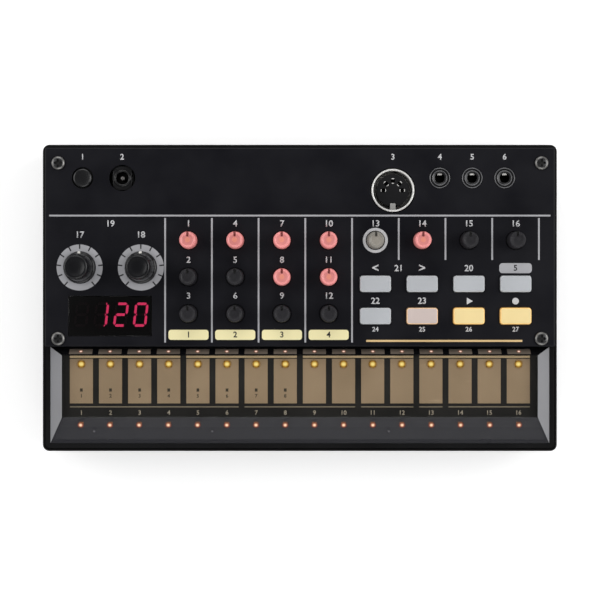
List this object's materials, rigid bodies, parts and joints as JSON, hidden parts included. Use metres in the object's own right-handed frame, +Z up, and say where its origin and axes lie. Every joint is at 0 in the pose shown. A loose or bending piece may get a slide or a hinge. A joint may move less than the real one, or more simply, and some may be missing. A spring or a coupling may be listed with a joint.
{
  "type": "drum machine",
  "caption": "Flat tabletop step drum machine with small knobs, two dials, push buttons, a display, sockets and a clear touch strip.",
  "frame": {"origin": "centre of the case seen from above, on the surface that its feet stand on", "axes": "+X to the right along the front edge, +Y to the rear where the sockets are, +Z up"},
  "size_m": [0.193, 0.115, 0.045],
  "materials": {
    "case_plastic": "satin",
    "panel_plastic": "satin",
    "smoke_clear": "gloss",
    "touch_mask": "satin",
    "gold_plating": "satin",
    "warm_lamp": "gloss",
    "board_green": "satin",
    "display_lens": "gloss",
    "display_body": "satin",
    "display_light": "gloss",
    "socket_black": "gloss",
    "socket_metal": "polished",
    "key_grey": "matte",
    "key_cream": "matte",
    "key_amber": "matte",
    "knob_pink": "gloss",
    "knob_dark": "gloss",
    "knob_grey": "gloss",
    "dial_black": "gloss",
    "power_black": "satin",
    "part_plastic": "satin",
    "spindle_metal": "satin",
    "speaker_metal": "satin",
    "door_plastic": "satin",
    "cell_jacket": "satin",
    "contact_metal": "satin",
    "foot_rubber": "matte",
    "screw_black": "satin",
    "cable_white": "satin",
    "lead_red": "satin"
  },
  "bodies": {
    "case": {"lower_case": "case_plastic", "upper_case": "case_plastic", "front_panel": "panel_plastic", "touch_cover": "smoke_clear", "touch_board": "touch_mask", "touch_pads": "gold_plating", "step_leds": "warm_lamp", "main_board": "board_green", "socket_board": "board_green", "display_window": "display_lens", "led_display": "display_body", "display_segments": "display_light", "dc_jack": "socket_black", "midi_socket": "socket_black", "midi_shield": "socket_metal", "audio_jacks": "socket_black", "power_switch": "part_plastic", "key_switches": "part_plastic", "small_pots": "part_plastic", "large_pots": "part_plastic", "speaker": "speaker_metal", "battery_cells": "cell_jacket", "battery_contacts": "contact_metal", "rubber_feet": "foot_rubber", "panel_screws": "screw_black", "case_screws": "screw_black", "board_screws": "screw_black", "ribbon_cable": "cable_white", "internal_leads": "lead_red"},
    "time_dial": {"time_dial": "dial_black", "time_spindle": "spindle_metal"},
    "depth_dial": {"depth_dial": "dial_black", "depth_spindle": "spindle_metal"},
    "kick_click_knob": {"kick_click_knob": "knob_pink"},
    "kick_pitch_knob": {"kick_pitch_knob": "knob_dark"},
    "kick_decay_knob": {"kick_decay_knob": "knob_dark"},
    "snare_snap_knob": {"snare_snap_knob": "knob_pink"},
    "snare_pitch_knob": {"snare_pitch_knob": "knob_dark"},
    "snare_decay_knob": {"snare_decay_knob": "knob_dark"},
    "tom_high_pitch_knob": {"tom_high_pitch_knob": "knob_pink"},
    "tom_low_pitch_knob": {"tom_low_pitch_knob": "knob_pink"},
    "tom_decay_knob": {"tom_decay_knob": "knob_dark"},
    "hat_closed_decay_knob": {"hat_closed_decay_knob": "knob_pink"},
    "hat_open_decay_knob": {"hat_open_decay_knob": "knob_pink"},
    "hat_grain_knob": {"hat_grain_knob": "knob_dark"},
    "sample_speed_knob": {"sample_speed_knob": "knob_grey"},
    "tempo_knob": {"tempo_knob": "knob_pink"},
    "part_level_knob": {"part_level_knob": "knob_dark"},
    "volume_knob": {"volume_knob": "knob_dark"},
    "part_back_button": {"part_back_button": "key_grey"},
    "part_next_button": {"part_next_button": "key_grey"},
    "mute_button": {"mute_button": "key_grey"},
    "function_button": {"function_button": "key_grey"},
    "memory_button": {"memory_button": "key_grey"},
    "step_mode_button": {"step_mode_button": "key_cream"},
    "play_button": {"play_button": "key_amber"},
    "record_button": {"record_button": "key_amber"},
    "power_button": {"power_button": "power_black"},
    "battery_door": {"battery_door": "door_plastic"}
  },
  "joints": [
    {"name": "time_dial_turn", "type": "hinge", "parent": "case", "child": "time_dial", "pos_m": [-0.0819, 0.0113, 0.033], "axis": [0, 0, -1], "range_deg": [-140, 140]},
    {"name": "depth_dial_turn", "type": "hinge", "parent": "case", "child": "depth_dial", "pos_m": [-0.05915, 0.0113, 0.033], "axis": [0, 0, -1], "range_deg": [-140, 140]},
    {"name": "kick_click_knob_turn", "type": "hinge", "parent": "case", "child": "kick_click_knob", "pos_m": [-0.04141, 0.0214, 0.033], "axis": [0, 0, -1], "range_deg": [-140, 140]},
    {"name": "kick_pitch_knob_turn", "type": "hinge", "parent": "case", "child": "kick_pitch_knob", "pos_m": [-0.04141, 0.00775, 0.033], "axis": [0, 0, -1], "range_deg": [-140, 140]},
    {"name": "kick_decay_knob_turn", "type": "hinge", "parent": "case", "child": "kick_decay_knob", "pos_m": [-0.04141, -0.0059, 0.033], "axis": [0, 0, -1], "range_deg": [-140, 140]},
    {"name": "snare_snap_knob_turn", "type": "hinge", "parent": "case", "child": "snare_snap_knob", "pos_m": [-0.02404, 0.0214, 0.033], "axis": [0, 0, -1], "range_deg": [-140, 140]},
    {"name": "snare_pitch_knob_turn", "type": "hinge", "parent": "case", "child": "snare_pitch_knob", "pos_m": [-0.02404, 0.00775, 0.033], "axis": [0, 0, -1], "range_deg": [-140, 140]},
    {"name": "snare_decay_knob_turn", "type": "hinge", "parent": "case", "child": "snare_decay_knob", "pos_m": [-0.02404, -0.0059, 0.033], "axis": [0, 0, -1], "range_deg": [-140, 140]},
    {"name": "tom_high_pitch_knob_turn", "type": "hinge", "parent": "case", "child": "tom_high_pitch_knob", "pos_m": [-0.00666, 0.0214, 0.033], "axis": [0, 0, -1], "range_deg": [-140, 140]},
    {"name": "tom_low_pitch_knob_turn", "type": "hinge", "parent": "case", "child": "tom_low_pitch_knob", "pos_m": [-0.00666, 0.00775, 0.033], "axis": [0, 0, -1], "range_deg": [-140, 140]},
    {"name": "tom_decay_knob_turn", "type": "hinge", "parent": "case", "child": "tom_decay_knob", "pos_m": [-0.00666, -0.0059, 0.033], "axis": [0, 0, -1], "range_deg": [-140, 140]},
    {"name": "hat_closed_decay_knob_turn", "type": "hinge", "parent": "case", "child": "hat_closed_decay_knob", "pos_m": [0.01071, 0.0214, 0.033], "axis": [0, 0, -1], "range_deg": [-140, 140]},
    {"name": "hat_open_decay_knob_turn", "type": "hinge", "parent": "case", "child": "hat_open_decay_knob", "pos_m": [0.01071, 0.00775, 0.033], "axis": [0, 0, -1], "range_deg": [-140, 140]},
    {"name": "hat_grain_knob_turn", "type": "hinge", "parent": "case", "child": "hat_grain_knob", "pos_m": [0.01071, -0.0059, 0.033], "axis": [0, 0, -1], "range_deg": [-140, 140]},
    {"name": "sample_speed_knob_turn", "type": "hinge", "parent": "case", "child": "sample_speed_knob", "pos_m": [0.02809, 0.0214, 0.033], "axis": [0, 0, -1], "range_deg": [-140, 140]},
    {"name": "tempo_knob_turn", "type": "hinge", "parent": "case", "child": "tempo_knob", "pos_m": [0.04546, 0.0214, 0.033], "axis": [0, 0, -1], "range_deg": [-140, 140]},
    {"name": "part_level_knob_turn", "type": "hinge", "parent": "case", "child": "part_level_knob", "pos_m": [0.06284, 0.0214, 0.033], "axis": [0, 0, -1], "range_deg": [-140, 140]},
    {"name": "volume_knob_turn", "type": "hinge", "parent": "case", "child": "volume_knob", "pos_m": [0.08021, 0.0214, 0.033], "axis": [0, 0, -1], "range_deg": [-140, 140]},
    {"name": "part_back_button_press", "type": "slide", "parent": "case", "child": "part_back_button", "axis": [0, 0, -1], "range_m": [0, 0.0006], "stiffness_N_per_m": 800},
    {"name": "part_next_button_press", "type": "slide", "parent": "case", "child": "part_next_button", "axis": [0, 0, -1], "range_m": [0, 0.0006], "stiffness_N_per_m": 800},
    {"name": "mute_button_press", "type": "slide", "parent": "case", "child": "mute_button", "axis": [0, 0, -1], "range_m": [0, 0.0006], "stiffness_N_per_m": 800},
    {"name": "function_button_press", "type": "slide", "parent": "case", "child": "function_button", "axis": [0, 0, -1], "range_m": [0, 0.0006], "stiffness_N_per_m": 800},
    {"name": "memory_button_press", "type": "slide", "parent": "case", "child": "memory_button", "axis": [0, 0, -1], "range_m": [0, 0.0006], "stiffness_N_per_m": 800},
    {"name": "step_mode_button_press", "type": "slide", "parent": "case", "child": "step_mode_button", "axis": [0, 0, -1], "range_m": [0, 0.0006], "stiffness_N_per_m": 800},
    {"name": "play_button_press", "type": "slide", "parent": "case", "child": "play_button", "axis": [0, 0, -1], "range_m": [0, 0.0006], "stiffness_N_per_m": 800},
    {"name": "record_button_press", "type": "slide", "parent": "case", "child": "record_button", "axis": [0, 0, -1], "range_m": [0, 0.0006], "stiffness_N_per_m": 800},
    {"name": "power_button_press", "type": "slide", "parent": "case", "child": "power_button", "axis": [0, 0, -1], "range_m": [0, 0.0015], "stiffness_N_per_m": 500},
    {"name": "battery_door_tilt", "type": "hinge", "parent": "case", "child": "battery_door", "pos_m": [-0.0315, 0.02285, 0.0015], "axis": [1, 0, 0], "range_deg": [0, 45]}
  ]
}
